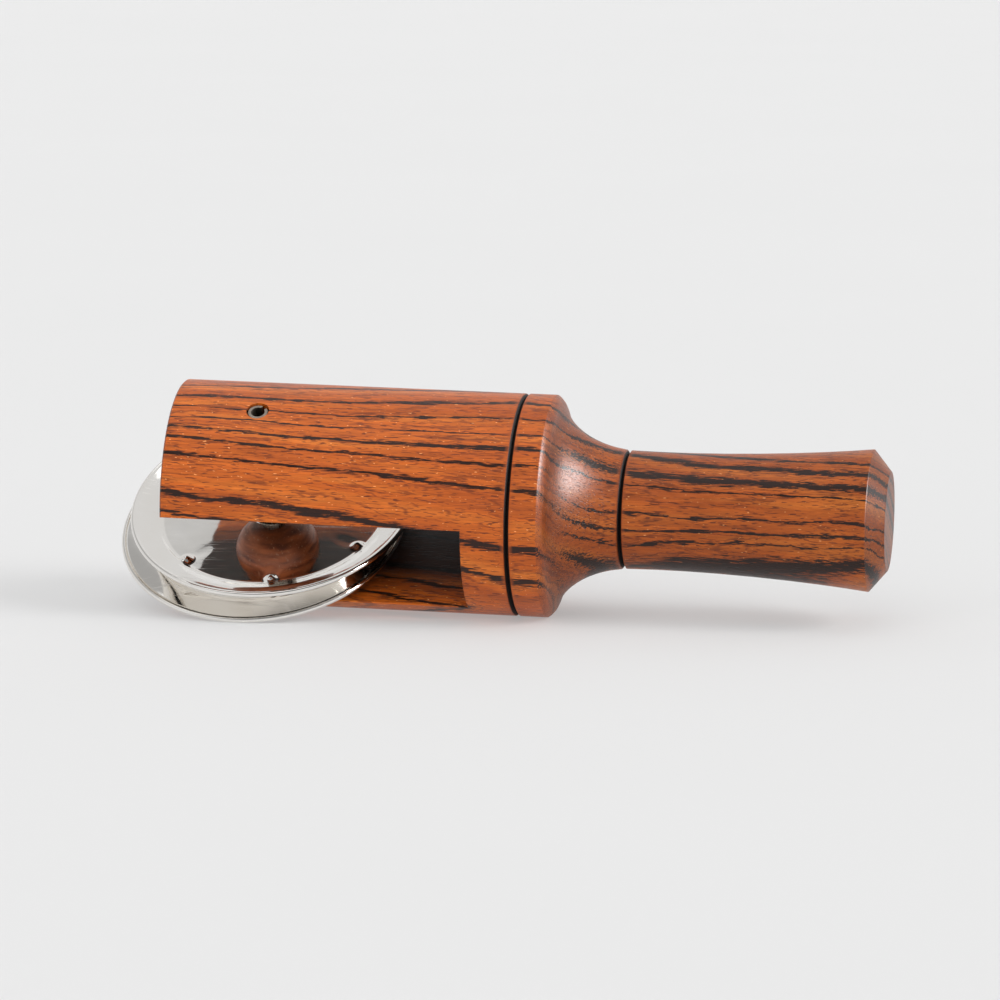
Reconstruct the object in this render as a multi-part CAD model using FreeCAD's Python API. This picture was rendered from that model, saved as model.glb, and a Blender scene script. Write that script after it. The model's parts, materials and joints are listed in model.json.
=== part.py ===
import FreeCAD, Part

import math
import os

# A hand jingle: one turned hardwood body with a slotted head, a slotted spring pin
# across the slot, and on the pin a round wooden bead and a loose pair of pressed jingles.
#
# Everything is first built in the turned frame, in millimetres and degrees. X runs along
# the turned axis, from the open mouth of the slot to the end of the handle. Z runs along
# the pin. The slot is open towards -X and both ways along Y. At the end, all the pieces
# are turned and lowered together into the pose in which the object lies on a table.

# Head: a plain cylinder with a flat mouth.
HEAD_RADIUS = 19.5
MOUTH_EDGE_BREAK = 0.3
SHOULDER_X = 66.1

# Slot through the head, and the hole that the pin is driven into.
SLOT_END_X = 52.9
SLOT_HALF_GAP = 8.9
PIN_X = 15.4
PIN_RADIUS = 2.0

# Sanding leaves every outside edge slightly round.
TURNED_EDGE_ROUND = 0.25
SLOT_EDGE_ROUND = 0.2

# Shoulder and cove, as (x, radius) points.
LIP_MIDDLE = (67.0, 18.6)
COVE_START = (67.4, 17.6)
COVE_STEEP_PULL = (68.5, 13.8)
COVE_FLAT_PULL = (74.0, 10.5)
NECK = (80.5, 10.35)

# Handle: it swells gently from the neck to the corner, then a chamfer meets the end.
HANDLE_THIN_PULL = (93.0, 10.05)
HANDLE_SWELL_PULL = (110.0, 10.95)
HANDLE_CORNER = (122.1, 12.4)
HANDLE_END = (125.2, 8.65)

# Two fine V grooves, burnt in on the lathe.
HEAD_GROOVE_X = 61.0
HEAD_GROOVE_WIDTH = 1.0
NECK_GROOVE_X = 79.3
NECK_GROOVE_WIDTH = 0.9
GROOVE_DEPTH = 0.8

# Slotted spring pin: a rolled tube with a gap along it and tapered ends.
PIN_HALF_LENGTH = 19.1
PIN_WALL = 0.8
PIN_GAP = 0.8
PIN_GAP_ANGLE = 54.0
PIN_TAPER_LENGTH = 0.7
PIN_TAPER_DEPTH = 0.3

# Bead: turned round, with a small flat at each end, and tight on the pin under the upper
# jaw, so that the jingles have only a little travel.
BEAD_RADIUS = 7.5
BEAD_LENGTH = 10.1
BEAD_FLAT_RADIUS = 2.6

# Jingle: a pressed disc with a shallow bowl, a conical flange and a ring of small nubs.
JINGLE_RADIUS = 25.4
JINGLE_SHEET = 0.5
JINGLE_HOLE_RADIUS = 4.1
FLANGE_INNER_RADIUS = 21.0
FLANGE_RISE = 0.8
BOWL_DEPTH = 1.05
RIM_BEAD_RADIUS = 0.35
NUB_COUNT = 7
NUB_CIRCLE_RADIUS = 19.3
NUB_FIRST_ANGLE = 22.0
NUB_FOOT_RADIUS = 1.7
NUB_HEIGHT = 0.7

# How the loose jingles lie on the pin: the middle of the rim's plane, then the tilts.
UPPER_RIM = (15.75, 0.3, -2.6)
UPPER_TILT_X = -3.7
UPPER_TILT_Y = -1.8
LOWER_RIM = (13.8, -0.7, -7.9)
LOWER_TILT_X = -1.75
LOWER_TILT_Y = -2.0

# The pose on the table: rolled on its side, with the mouth propped up by a jingle.
ROLL = 34.0
PITCH = 0.95

TOLERANCE = 0.001

X_AXIS = FreeCAD.Vector(1, 0, 0)
Y_AXIS = FreeCAD.Vector(0, 1, 0)
Z_AXIS = FreeCAD.Vector(0, 0, 1)
ORIGIN = FreeCAD.Vector(0, 0, 0)


def on_profile(point):
    """Put an (along, radius) pair on the plane that is turned about X."""
    return FreeCAD.Vector(point[0], 0, point[1])


def line(start, end):
    return Part.LineSegment(on_profile(start), on_profile(end)).toShape()


def curve(*poles):
    bezier = Part.BezierCurve()
    bezier.setPoles([on_profile(pole) for pole in poles])
    return bezier.toShape()


def turned_blank():
    """The body as it leaves the lathe, before the slot and the hole are cut."""
    mouth_rim = (0.0, HEAD_RADIUS - MOUTH_EDGE_BREAK)
    mouth_edge = (MOUTH_EDGE_BREAK, HEAD_RADIUS)
    shoulder = (SHOULDER_X, HEAD_RADIUS)
    lip = Part.Arc(on_profile(shoulder), on_profile(LIP_MIDDLE), on_profile(COVE_START))
    outline = [
        line((0.0, 0.0), mouth_rim),
        line(mouth_rim, mouth_edge),
        line(mouth_edge, shoulder),
        lip.toShape(),
        curve(COVE_START, COVE_STEEP_PULL, COVE_FLAT_PULL, NECK),
        curve(NECK, HANDLE_THIN_PULL, HANDLE_SWELL_PULL, HANDLE_CORNER),
        line(HANDLE_CORNER, HANDLE_END),
        line(HANDLE_END, (HANDLE_END[0], 0.0)),
        line((HANDLE_END[0], 0.0), (0.0, 0.0)),
    ]
    return Part.Face(Part.Wire(outline)).revolve(ORIGIN, X_AXIS, 360)


def groove_ring(middle_x, surface_radius, width):
    """A triangular ring that cuts one V groove. It stands proud, so the cut is clean."""
    proud = GROOVE_DEPTH
    half_top = width / 2 * (GROOVE_DEPTH + proud) / GROOVE_DEPTH
    bottom = (middle_x, surface_radius - GROOVE_DEPTH)
    left = (middle_x - half_top, surface_radius + proud)
    right = (middle_x + half_top, surface_radius + proud)
    outline = [line(bottom, left), line(left, right), line(right, bottom)]
    return Part.Face(Part.Wire(outline)).revolve(ORIGIN, X_AXIS, 360)


def circles_at(edge, places):
    """True for a full circle round the turned axis at one of the given places along it."""
    box = edge.BoundBox
    flat = box.XLength < TOLERANCE
    return flat and any(abs(box.Center.x - place) < TOLERANCE for place in places)


def bounds_slot(edge):
    """True for an edge where a slot wall meets the outside of the head."""
    points = [edge.valueAt(edge.FirstParameter), edge.valueAt(edge.LastParameter)]
    middle = edge.valueAt((edge.FirstParameter + edge.LastParameter) / 2)
    outside = math.hypot(middle.y, middle.z) > HEAD_RADIUS - MOUTH_EDGE_BREAK - TOLERANCE
    on_jaw = all(abs(abs(point.z) - SLOT_HALF_GAP) < TOLERANCE for point in points)
    inside_length = MOUTH_EDGE_BREAK + TOLERANCE < middle.x < SLOT_END_X + TOLERANCE
    return outside and on_jaw and inside_length


def wooden_body():
    overshoot = 5.0
    reach = HEAD_RADIUS + overshoot
    slot_corner = FreeCAD.Vector(-overshoot, -reach, -SLOT_HALF_GAP)
    slot = Part.makeBox(SLOT_END_X + overshoot, 2 * reach, 2 * SLOT_HALF_GAP, slot_corner)
    hole = Part.makeCylinder(PIN_RADIUS, 2 * reach, FreeCAD.Vector(PIN_X, 0, -reach), Z_AXIS)
    head_groove = groove_ring(HEAD_GROOVE_X, HEAD_RADIUS, HEAD_GROOVE_WIDTH)
    neck_groove = groove_ring(NECK_GROOVE_X, NECK[1], NECK_GROOVE_WIDTH)
    turned = turned_blank().cut([head_groove, neck_groove])
    sharp_turned_x = [SHOULDER_X, HANDLE_CORNER[0], HANDLE_END[0]]
    turned_edges = [edge for edge in turned.Edges if circles_at(edge, sharp_turned_x)]
    turned = turned.makeFillet(TURNED_EDGE_ROUND, turned_edges)
    slotted = turned.cut(slot)
    slot_edges = [edge for edge in slotted.Edges if bounds_slot(edge)]
    return slotted.makeFillet(SLOT_EDGE_ROUND, slot_edges).cut(hole)


def spring_pin():
    """A tube with tapered ends and one gap, which lets it spring into a tight hole."""
    bore_radius = PIN_RADIUS - PIN_WALL
    taper_radius = PIN_RADIUS - PIN_TAPER_DEPTH
    taper_z = PIN_HALF_LENGTH - PIN_TAPER_LENGTH
    section = [
        FreeCAD.Vector(bore_radius, 0, -PIN_HALF_LENGTH),
        FreeCAD.Vector(taper_radius, 0, -PIN_HALF_LENGTH),
        FreeCAD.Vector(PIN_RADIUS, 0, -taper_z),
        FreeCAD.Vector(PIN_RADIUS, 0, taper_z),
        FreeCAD.Vector(taper_radius, 0, PIN_HALF_LENGTH),
        FreeCAD.Vector(bore_radius, 0, PIN_HALF_LENGTH),
    ]
    tube = Part.Face(Part.makePolygon(section + section[:1])).revolve(ORIGIN, Z_AXIS, 360)
    gap_corner = FreeCAD.Vector(0, -PIN_GAP / 2, -2 * PIN_HALF_LENGTH)
    gap = Part.makeBox(2 * PIN_RADIUS, PIN_GAP, 4 * PIN_HALF_LENGTH, gap_corner)
    gap.rotate(ORIGIN, Z_AXIS, PIN_GAP_ANGLE)
    pin = tube.cut(gap)
    pin.translate(FreeCAD.Vector(PIN_X, 0, 0))
    return pin


def spacer_bead():
    top_z = SLOT_HALF_GAP
    middle_z = top_z - BEAD_LENGTH / 2
    bottom_z = top_z - BEAD_LENGTH
    flat_top = FreeCAD.Vector(BEAD_FLAT_RADIUS, 0, top_z)
    belly = FreeCAD.Vector(BEAD_RADIUS, 0, middle_z)
    flat_bottom = FreeCAD.Vector(BEAD_FLAT_RADIUS, 0, bottom_z)
    bore_bottom = FreeCAD.Vector(PIN_RADIUS, 0, bottom_z)
    bore_top = FreeCAD.Vector(PIN_RADIUS, 0, top_z)
    outline = [
        Part.Arc(flat_top, belly, flat_bottom).toShape(),
        Part.LineSegment(flat_bottom, bore_bottom).toShape(),
        Part.LineSegment(bore_bottom, bore_top).toShape(),
        Part.LineSegment(bore_top, flat_top).toShape(),
    ]
    bead = Part.Face(Part.Wire(outline)).revolve(ORIGIN, Z_AXIS, 360)
    bead.translate(FreeCAD.Vector(PIN_X, 0, 0))
    return bead


def bowl_arc(hole_z, flange_z):
    """One face of the bowl: an arc that is level at the pin's axis."""
    rise = flange_z - hole_z
    ball_radius = (FLANGE_INNER_RADIUS ** 2 + rise ** 2) / (2 * rise)
    middle_radius = FLANGE_INNER_RADIUS / 2
    middle_z = hole_z + ball_radius - math.sqrt(ball_radius ** 2 - middle_radius ** 2)
    hole_edge_z = hole_z + ball_radius - math.sqrt(ball_radius ** 2 - JINGLE_HOLE_RADIUS ** 2)
    arc = Part.Arc(
        FreeCAD.Vector(JINGLE_HOLE_RADIUS, 0, hole_edge_z),
        FreeCAD.Vector(middle_radius, 0, middle_z),
        FreeCAD.Vector(FLANGE_INNER_RADIUS, 0, flange_z),
    )
    return arc.toShape(), hole_edge_z


def nub(height, foot_radius, base_z, angle):
    """A ball whose cap stands up from base_z by the given height."""
    ball_radius = (foot_radius ** 2 + height ** 2) / (2 * height)
    turn = math.radians(angle)
    middle = FreeCAD.Vector(
        NUB_CIRCLE_RADIUS * math.cos(turn),
        NUB_CIRCLE_RADIUS * math.sin(turn),
        base_z + height - ball_radius,
    )
    ball = Part.makeSphere(ball_radius)
    ball.translate(middle)
    return ball


def jingle():
    """One jingle, hollow side up, with the middle of its rim's plane at the origin."""
    rim_z = -RIM_BEAD_RADIUS
    flange_top = rim_z + JINGLE_SHEET / 2 - FLANGE_RISE
    bowl_top, hole_top = bowl_arc(flange_top - BOWL_DEPTH, flange_top)
    bowl_back, hole_back = bowl_arc(flange_top - BOWL_DEPTH - JINGLE_SHEET, flange_top - JINGLE_SHEET)
    flange_edge = JINGLE_RADIUS - RIM_BEAD_RADIUS
    top_edge = FreeCAD.Vector(flange_edge, 0, rim_z + JINGLE_SHEET / 2)
    back_edge = FreeCAD.Vector(flange_edge, 0, rim_z - JINGLE_SHEET / 2)
    top_bend = FreeCAD.Vector(FLANGE_INNER_RADIUS, 0, flange_top)
    back_bend = FreeCAD.Vector(FLANGE_INNER_RADIUS, 0, flange_top - JINGLE_SHEET)
    hole_top_edge = FreeCAD.Vector(JINGLE_HOLE_RADIUS, 0, hole_top)
    hole_back_edge = FreeCAD.Vector(JINGLE_HOLE_RADIUS, 0, hole_back)
    outline = [
        bowl_top,
        Part.LineSegment(top_bend, top_edge).toShape(),
        Part.LineSegment(top_edge, back_edge).toShape(),
        Part.LineSegment(back_edge, back_bend).toShape(),
        bowl_back,
        Part.LineSegment(hole_back_edge, hole_top_edge).toShape(),
    ]
    disc = Part.Face(Part.Wire(Part.__sortEdges__(outline))).revolve(ORIGIN, Z_AXIS, 360)
    rim_bead = Part.makeTorus(flange_edge, RIM_BEAD_RADIUS, FreeCAD.Vector(0, 0, rim_z), Z_AXIS)
    angles = [NUB_FIRST_ANGLE + 360.0 * index / NUB_COUNT for index in range(NUB_COUNT)]
    fraction = (NUB_CIRCLE_RADIUS / FLANGE_INNER_RADIUS) ** 2
    sheet_top = flange_top - BOWL_DEPTH * (1 - fraction)
    raised = [nub(NUB_HEIGHT, NUB_FOOT_RADIUS, sheet_top, angle) for angle in angles]
    inner_foot = NUB_FOOT_RADIUS - JINGLE_SHEET / 2
    hollow = [nub(NUB_HEIGHT, inner_foot, sheet_top - JINGLE_SHEET, angle) for angle in angles]
    trim_z = sheet_top - JINGLE_SHEET / 2
    below = Part.makeBox(60, 60, 10, FreeCAD.Vector(-30, -30, trim_z - 10))
    caps = [ball.cut(below) for ball in raised]
    return disc.fuse([rim_bead] + caps).cut(hollow).removeSplitter()


def hung(shape, rim_middle, tilt_x, tilt_y, flipped):
    """Place a jingle on the pin. A flipped one has its hollow side down."""
    piece = shape.copy()
    if flipped:
        piece.rotate(ORIGIN, X_AXIS, 180)
    piece.rotate(ORIGIN, X_AXIS, tilt_x)
    piece.rotate(ORIGIN, Y_AXIS, tilt_y)
    piece.translate(FreeCAD.Vector(*rim_middle))
    return piece


def laid_down(pieces):
    """Roll and pitch every piece, then stand the whole on Z = 0 about the origin."""
    for shape in pieces.values():
        shape.rotate(ORIGIN, X_AXIS, ROLL)
        shape.rotate(ORIGIN, Y_AXIS, PITCH)
    box = Part.makeCompound(list(pieces.values())).optimalBoundingBox()
    shift = FreeCAD.Vector(-box.Center.x, -box.Center.y, -box.ZMin)
    for shape in pieces.values():
        shape.translate(shift)
    return shift


def main():
    disc = jingle()
    pieces = {
        "wooden_body": wooden_body(),
        "spring_pin": spring_pin(),
        "spacer_bead": spacer_bead(),
        "upper_jingle": hung(disc, UPPER_RIM, UPPER_TILT_X, UPPER_TILT_Y, False),
        "lower_jingle": hung(disc, LOWER_RIM, LOWER_TILT_X, LOWER_TILT_Y, True),
    }
    shift = laid_down(pieces)
    os.makedirs("parts", exist_ok=True)
    for name, shape in pieces.items():
        shape.exportStep(os.path.join("parts", name + ".step"))
        solids = len(shape.Solids)
        print(name, "solids", solids, "valid", shape.isValid(), "volume", round(shape.Volume, 1))
    print("turned frame's origin in the row frame:", [round(value, 4) for value in shift])


main()
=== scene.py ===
"""Looks of a hand jingle: a turned hardwood body, a spring pin, a bead and two pressed jingles.

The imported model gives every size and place. Lengths in the classes are millimetres, and
the scene's own units are metres.
"""

import json
import logging
import math
from dataclasses import dataclass
from enum import Enum
from typing import Any

import bpy
import numpy as np
from mathutils import Euler, Matrix, Vector

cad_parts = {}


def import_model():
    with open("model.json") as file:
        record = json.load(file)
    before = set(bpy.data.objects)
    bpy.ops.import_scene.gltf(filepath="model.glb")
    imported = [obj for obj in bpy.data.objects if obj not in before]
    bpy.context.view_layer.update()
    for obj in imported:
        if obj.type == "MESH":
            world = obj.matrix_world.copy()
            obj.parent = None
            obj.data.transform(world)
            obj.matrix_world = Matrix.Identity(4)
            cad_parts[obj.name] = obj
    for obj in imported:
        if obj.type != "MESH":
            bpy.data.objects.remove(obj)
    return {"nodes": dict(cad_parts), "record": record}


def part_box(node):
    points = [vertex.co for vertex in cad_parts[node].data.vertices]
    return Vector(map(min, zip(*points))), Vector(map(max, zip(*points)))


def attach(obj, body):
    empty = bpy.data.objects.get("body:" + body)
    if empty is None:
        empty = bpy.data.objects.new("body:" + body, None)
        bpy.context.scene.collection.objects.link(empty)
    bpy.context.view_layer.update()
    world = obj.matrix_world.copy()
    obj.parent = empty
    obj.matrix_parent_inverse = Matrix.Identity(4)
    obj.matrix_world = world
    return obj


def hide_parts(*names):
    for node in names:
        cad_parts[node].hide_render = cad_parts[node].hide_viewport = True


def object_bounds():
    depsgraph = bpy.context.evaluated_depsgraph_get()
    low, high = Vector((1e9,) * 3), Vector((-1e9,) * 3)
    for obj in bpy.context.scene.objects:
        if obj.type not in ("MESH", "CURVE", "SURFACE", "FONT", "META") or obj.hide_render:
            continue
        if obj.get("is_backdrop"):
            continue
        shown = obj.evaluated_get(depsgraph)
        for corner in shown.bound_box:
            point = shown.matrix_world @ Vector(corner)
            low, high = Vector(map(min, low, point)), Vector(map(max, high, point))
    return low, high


MM = 0.001
SHADES = 6  # number of a Mix node's first colour input; the second is the next one

log = logging.getLogger("hand_jingle")


def linear(colour: str) -> tuple[float, float, float, float]:
    """Turn an sRGB hex colour into linear values.

    Args:
        colour: Colour such as "#C8662F".

    Returns:
        Red, green, blue and an alpha of 1.
    """
    values = []
    for place in (1, 3, 5):
        part = int(colour[place : place + 2], 16) / 255
        values.append(part / 12.92 if part <= 0.04045 else ((part + 0.055) / 1.055) ** 2.4)
    return values[0], values[1], values[2], 1.0


def add(
    tree: bpy.types.NodeTree, kind: str, inputs: dict[Any, Any] | None = None, **settings: Any
) -> bpy.types.Node:
    """Add a node to a tree, with its settings, values and links.

    Args:
        tree: Node tree that gets the node.
        kind: Kind of node, such as "ShaderNodeMath".
        inputs: Value, socket or node for each input, by its name or number. A node stands
            for its first output in use.
        **settings: Properties of the node.

    Returns:
        The new node.
    """
    made = tree.nodes.new(kind)
    for name, value in settings.items():
        setattr(made, name, value)
    for key, value in (inputs or {}).items():
        if isinstance(value, bpy.types.Node):
            value = next(output for output in value.outputs if output.enabled)
        if isinstance(value, bpy.types.NodeSocket):
            tree.links.new(value, made.inputs[key])
        else:
            made.inputs[key].default_value = value
    return made


class Side(Enum):
    """Which way a jingle's hollow side faces on the pin."""

    UP = "hollow side up"
    DOWN = "hollow side down"


@dataclass(frozen=True)
class TurnedFrame:
    """The lathe's own axes: X from the mouth to the handle's end, Z along the pin."""

    origin: Vector
    axes: Matrix

    @classmethod
    def from_record(cls, record: dict[str, Any], body_length: float) -> "TurnedFrame":
        """Read the turned frame from the handle's mount and the jingles' slide.

        Args:
            record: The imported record.
            body_length: Distance from the mouth to the handle's end.

        Returns:
            The turned frame in the row frame.
        """
        mount = next(mount for mount in record["mounts"] if mount["name"] == "handle_end")
        along = Vector(mount["axis"]).normalized()
        pin = Vector(record["behaviour"]["joints"][0]["axis"]).normalized()
        across = pin.cross(along).normalized()
        axes = Matrix((along, across, along.cross(across))).transposed()
        return cls(Vector(mount["pos_m"]) - along * body_length * MM, axes)

    def mapping(self) -> dict[str, Any]:
        """Give the Mapping node's inputs that turn object coordinates into millimetres here."""
        return {"Location": self.origin, "Rotation": self.axes.to_euler(), "Scale": (MM, MM, MM)}


class Finish:
    """A procedural material. A subclass names it and paints it with nodes."""

    name = "finish"

    def material(self) -> bpy.types.Material:
        """Make the material.

        Returns:
            The material, with its shader joined to the output.
        """
        made = bpy.data.materials.new(self.name)
        made.use_nodes = True
        tree = made.node_tree
        tree.nodes.clear()
        shader = add(tree, "ShaderNodeBsdfPrincipled")
        add(tree, "ShaderNodeOutputMaterial", {"Surface": shader})
        self.paint(tree, shader)
        return made

    def paint(self, tree: bpy.types.NodeTree, shader: bpy.types.Node) -> None:
        """Fill in the shader's inputs."""
        raise NotImplementedError

    def spot(self, tree: bpy.types.NodeTree, mapping: dict[str, Any]) -> bpy.types.Node:
        """Turn object coordinates into millimetres.

        Args:
            tree: The material's nodes.
            mapping: The Mapping node's inputs, which set the frame and the unit.

        Returns:
            The node that gives the place in millimetres.
        """
        place = add(tree, "ShaderNodeTexCoord").outputs["Object"]
        return add(tree, "ShaderNodeMapping", {"Vector": place, **mapping}, vector_type="TEXTURE")

    def grain(
        self,
        tree: bpy.types.NodeTree,
        spot: bpy.types.Node,
        size: tuple[float, float, float],
        detail: float,
        roughness: float = 0.5,
        shift: float = 0.0,
    ) -> bpy.types.Node:
        """Draw noise whose blotches have a given size.

        Args:
            tree: The material's nodes.
            spot: The place in millimetres.
            size: Length of a blotch along each axis, in millimetres.
            detail: How many finer layers the noise has.
            roughness: How strong the finer layers are.
            shift: Moves the pattern, so that two sets don't coincide.

        Returns:
            The noise node.
        """
        placed = add(
            tree,
            "ShaderNodeVectorMath",
            {0: spot, 1: tuple(1 / length for length in size), 2: (shift, shift, shift)},
            operation="MULTIPLY_ADD",
        )
        noise = {"Vector": placed, "Scale": 1.0, "Detail": detail, "Roughness": roughness}
        return add(tree, "ShaderNodeTexNoise", noise)


@dataclass(frozen=True)
class GrowthLine:
    """One dark line of the wood, on the growth-layer coordinate."""

    place: float
    half_width: float


@dataclass(frozen=True)
class Wander:
    """How the growth layers wander: length and width of a bend, its reach to each side, its detail."""

    length: float
    width: float
    reach: float
    detail: float


@dataclass(frozen=True)
class Fibre:
    """A set of fibres: their length and width, and how dark and how light they get."""

    length: float
    width: float
    dark: float
    light: float


@dataclass(frozen=True)
class Specks:
    """A set of specks: their length and width, how rare they are, and a shift of their pattern."""

    length: float
    width: float
    limit: float
    shift: float


@dataclass(frozen=True)
class StripedHardwood(Finish):
    """Bocote-like striped hardwood, turned, sanded and oiled.

    Orange-brown heartwood with near-black growth lines that break up into fibres, short
    dark pores, and a satin oil sheen. The two lathe grooves are burnt black with a wire.
    """

    turned: TurnedFrame
    name: str = "striped_hardwood_oiled"
    heart: str = "#A64F12"
    pale: str = "#B46120"
    red: str = "#934210"
    line: str = "#120603"
    fine_line: str = "#5A240D"
    pore: str = "#4E1F0C"
    fleck: str = "#E29A5E"
    scorch: str = "#0C0604"
    across: tuple[float, float] = (0.898, 0.440)
    drift: float = 0.0404
    head_length: float = 62.0
    head_spread: float = -0.295
    head_swing: float = -0.321
    handle_spread: float = 0.254
    head_lines: tuple[GrowthLine, ...] = (
        GrowthLine(-13.6, 0.5),
        GrowthLine(-10.1, 0.65),
        GrowthLine(-7.2, 0.85),
        GrowthLine(-1.3, 0.55),
        GrowthLine(1.6, 0.45),
        GrowthLine(3.8, 0.6),
        GrowthLine(6.2, 0.32),
        GrowthLine(8.6, 0.3),
        GrowthLine(11.2, 0.55),
        GrowthLine(14.4, 0.4),
    )
    handle_lines: tuple[GrowthLine, ...] = (
        GrowthLine(-8.6, 1.1),
        GrowthLine(-5.6, 1.6),
        GrowthLine(-3.4, 0.3),
        GrowthLine(-1.8, 0.5),
        GrowthLine(0.0, 0.32),
        GrowthLine(3.6, 0.35),
        GrowthLine(5.6, 1.6),
        GrowthLine(8.6, 1.1),
        GrowthLine(11.0, 0.6),
    )
    changeover: tuple[float, float] = (65.0, 73.0)
    layer_span: float = 20.0
    wanders: tuple[Wander, ...] = (
        Wander(55.0, 16.0, 1.5, 1.0),
        Wander(14.0, 3.0, 0.7, 2.0),
        Wander(2.4, 0.4, 0.34, 2.0),
    )
    ragged_length: float = 4.5
    ragged_width: float = 0.26
    band_length: float = 34.0
    band_width: float = 2.1
    fine_line_length: float = 17.0
    fine_line_width: float = 0.9
    fibres: tuple[Fibre, ...] = (Fibre(15.0, 0.8, 0.76, 1.16), Fibre(2.8, 0.2, 0.80, 1.14))
    pore_set: Specks = Specks(1.7, 0.2, 0.65, 3.0)
    fleck_set: Specks = Specks(0.7, 0.22, 0.79, 17.0)
    end_grain_shade: float = 0.55
    # Painted slot shade: how far it reaches, and its colour factor from the slot's core to its mouth.
    slot_length: float = 53.0
    slot_core_radius: float = 12.0
    slot_mouth_radius: float = 18.9
    slot_core_shade: float = 0.05
    slot_mouth_shade: float = 1.45
    grooves: tuple[tuple[float, float], ...] = ((61.0, 0.5), (79.3, 0.45))
    scorch_edge: tuple[float, float] = (0.14, 0.02)
    halo_width: float = 0.7
    halo_strength: float = 0.55

    def paint(self, tree: bpy.types.NodeTree, shader: bpy.types.Node) -> None:
        """Paint growth lines, streaks, pores, flecks, painted shade in the slot and burnt grooves."""
        spot = self.spot(tree, self.turned.mapping())
        layer = self.layers(tree, spot)
        lines = self.dark_lines(tree, spot, layer)
        colour, fibre = self.heartwood(tree, spot, layer)
        colour = self.oiled_end_grain(tree, colour)
        pores = self.specks(tree, spot, self.pore_set)
        flecks = self.specks(tree, spot, self.fleck_set)
        burnt, halo = self.burnt_grooves(tree, spot)
        for mask, shade in (
            (pores, self.pore),
            (flecks, self.fleck),
            (lines, self.line),
            (halo, self.red),
            (burnt, self.scorch),
        ):
            colour = add(
                tree,
                "ShaderNodeMix",
                {"Factor": mask, SHADES: colour, SHADES + 1: linear(shade)},
                data_type="RGBA",
            )
        # Painted shade: the slot's walls darken towards its middle and lighten towards its mouth.
        colour = self.painted_slot_shade(tree, spot, colour)
        relief = add(tree, "ShaderNodeMath", {0: pores, 1: -0.9, 2: fibre}, operation="MULTIPLY_ADD")
        bump = add(tree, "ShaderNodeBump", {"Height": relief, "Distance": 0.03 * MM, "Strength": 0.8})
        gloss = add(
            tree,
            "ShaderNodeMapRange",
            {"Value": fibre, "From Min": 0.3, "From Max": 0.7, "To Min": 0.30, "To Max": 0.46},
        )
        rough = add(tree, "ShaderNodeMath", {0: burnt, 1: 0.35, 2: gloss}, operation="MULTIPLY_ADD")
        tree.links.new(colour.outputs[0], shader.inputs["Base Color"])
        tree.links.new(rough.outputs[0], shader.inputs["Roughness"])
        tree.links.new(bump.outputs[0], shader.inputs["Normal"])
        shader.inputs["IOR"].default_value = 1.5
        shader.inputs["Specular IOR Level"].default_value = 0.33

    def layers(self, tree: bpy.types.NodeTree, spot: bpy.types.Node) -> bpy.types.Node:
        """Work out the growth-layer coordinate: millimetres out from a bent, wavy year ring.

        Args:
            tree: The material's nodes.
            spot: Millimetres in the turned frame.

        Returns:
            The node that gives the coordinate.
        """
        along = add(tree, "ShaderNodeSeparateXYZ", {0: spot})
        inward = (0.0, *self.across)
        depth = add(tree, "ShaderNodeVectorMath", {0: spot, 1: inward}, operation="DOT_PRODUCT")
        depth = depth.outputs["Value"]
        # The layers lean along the body, close up towards the shoulder and open in the handle.
        layer = add(tree, "ShaderNodeMath", {0: along, 1: self.drift, 2: depth}, operation="MULTIPLY_ADD")
        head = add(tree, "ShaderNodeMapRange", {"Value": along, "From Max": self.head_length})
        swing = add(
            tree,
            "ShaderNodeMath",
            {0: depth, 1: self.head_spread, 2: self.head_swing},
            operation="MULTIPLY_ADD",
        )
        layer = add(tree, "ShaderNodeMath", {0: head, 1: swing, 2: layer}, operation="MULTIPLY_ADD")
        handle = add(
            tree,
            "ShaderNodeMapRange",
            {
                "Value": along,
                "From Min": self.head_length,
                "From Max": 2 * self.head_length,
                "To Max": self.handle_spread,
            },
        )
        layer = add(tree, "ShaderNodeMath", {0: handle, 1: depth, 2: layer}, operation="MULTIPLY_ADD")
        # Slow swing of the tree's trunk, then the wander of single rings, then ragged fibres.
        for wander in self.wanders:
            bend = self.grain(tree, spot, (wander.length, wander.width, wander.width), wander.detail)
            swung = add(
                tree,
                "ShaderNodeMapRange",
                {"Value": bend, "To Min": -wander.reach, "To Max": wander.reach},
            )
            layer = add(tree, "ShaderNodeMath", {0: layer, 1: swung}, operation="ADD")
        return layer

    def dark_lines(
        self, tree: bpy.types.NodeTree, spot: bpy.types.Node, layer: bpy.types.Node
    ) -> bpy.types.Node:
        """Draw the near-black growth lines, ragged and broken along the grain.

        Args:
            tree: The material's nodes.
            spot: Millimetres in the turned frame.
            layer: The growth-layer coordinate.

        Returns:
            The node whose value is 1 in a line and 0 beside it.
        """
        span = self.layer_span
        share = add(tree, "ShaderNodeMapRange", {"Value": layer, "From Min": -span, "From Max": span})
        ramps = []
        for lines in (self.head_lines, self.handle_lines):
            ramp = add(tree, "ShaderNodeValToRGB", {"Fac": share})
            elements = ramp.color_ramp.elements
            elements[0].color = elements[1].color = (0.0, 0.0, 0.0, 1.0)
            for line in lines:
                for away, strength in ((-line.half_width, 0.0), (0.0, 1.0), (line.half_width, 0.0)):
                    element = elements.new((line.place + away + span) / (2 * span))
                    element.color = (strength, strength, strength, 1.0)
            ramps.append(ramp)
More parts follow.
